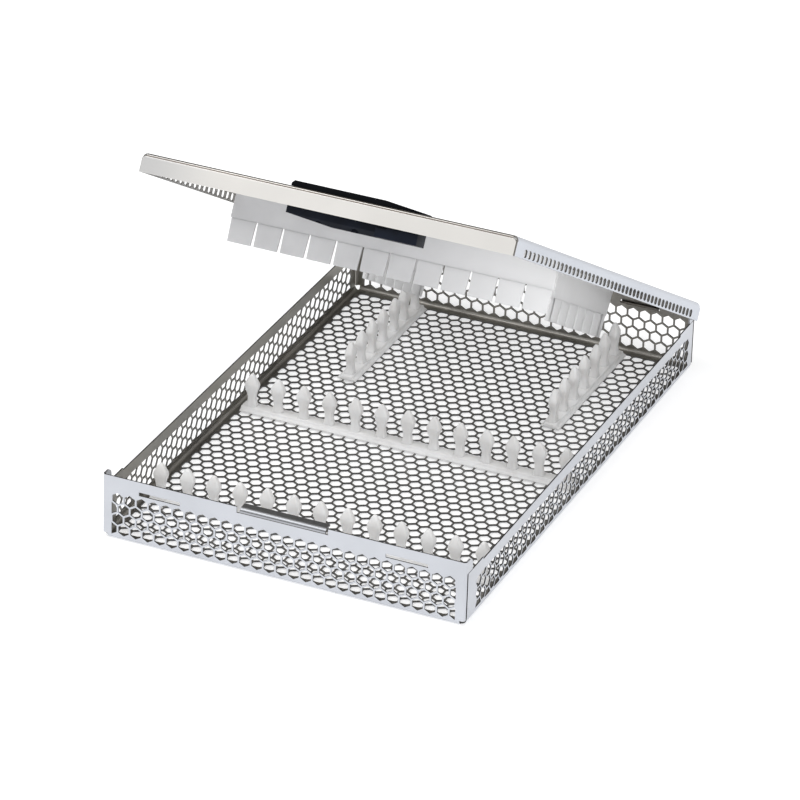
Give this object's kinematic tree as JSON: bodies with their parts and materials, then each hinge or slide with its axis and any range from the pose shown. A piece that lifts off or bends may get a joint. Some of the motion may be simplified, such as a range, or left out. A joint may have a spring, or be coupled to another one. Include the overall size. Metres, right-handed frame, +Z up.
{
  "type": "instrument sterilization tray",
  "caption": "Flat perforated steel tray with silicone finger bars, a hinged perforated lid standing part open, comb strips under it and a sliding lock.",
  "frame": {"origin": "centre of the underside of the tray's floor", "axes": "+Z up, +Y from the front wall to the hinge wall, +X to the right seen from the front"},
  "size_m": [0.1856, 0.2879, 0.1789],
  "materials": {
    "sheet_steel": "satin, electropolished",
    "silicone": "translucent matte",
    "lock_plastic": "satin",
    "screw_steel": "plain"
  },
  "bodies": {
    "tray": {"tray_floor": "sheet_steel", "front_wall": "sheet_steel", "back_wall": "sheet_steel", "left_wall": "sheet_steel", "right_wall": "sheet_steel", "corner_ears": "sheet_steel", "bar_front": "silicone", "bar_middle": "silicone", "bar_rear_left": "silicone", "bar_rear_right": "silicone"},
    "lid": {"lid_panel": "sheet_steel", "lid_front_flange": "sheet_steel", "lid_rear_flange": "sheet_steel", "lid_left_flange": "sheet_steel", "lid_right_flange": "sheet_steel", "hinge_hooks": "sheet_steel", "comb_front": "silicone", "comb_rear_left": "silicone", "comb_rear_right": "silicone"},
    "lock": {"lock_slider": "lock_plastic", "lock_grip": "lock_plastic", "lock_screws": "screw_steel"}
  },
  "joints": [
    {"name": "lid_hinge", "type": "hinge", "parent": "tray", "child": "lid", "pos_m": [0, 0.14155, 0.0289], "axis": [-1, 0, 0], "range_deg": [-30.7, 68.6]},
    {"name": "lock_slide", "type": "slide", "parent": "lid", "child": "lock", "axis": [1, 0, 0], "range_m": [-0.0147, 0]}
  ]
}
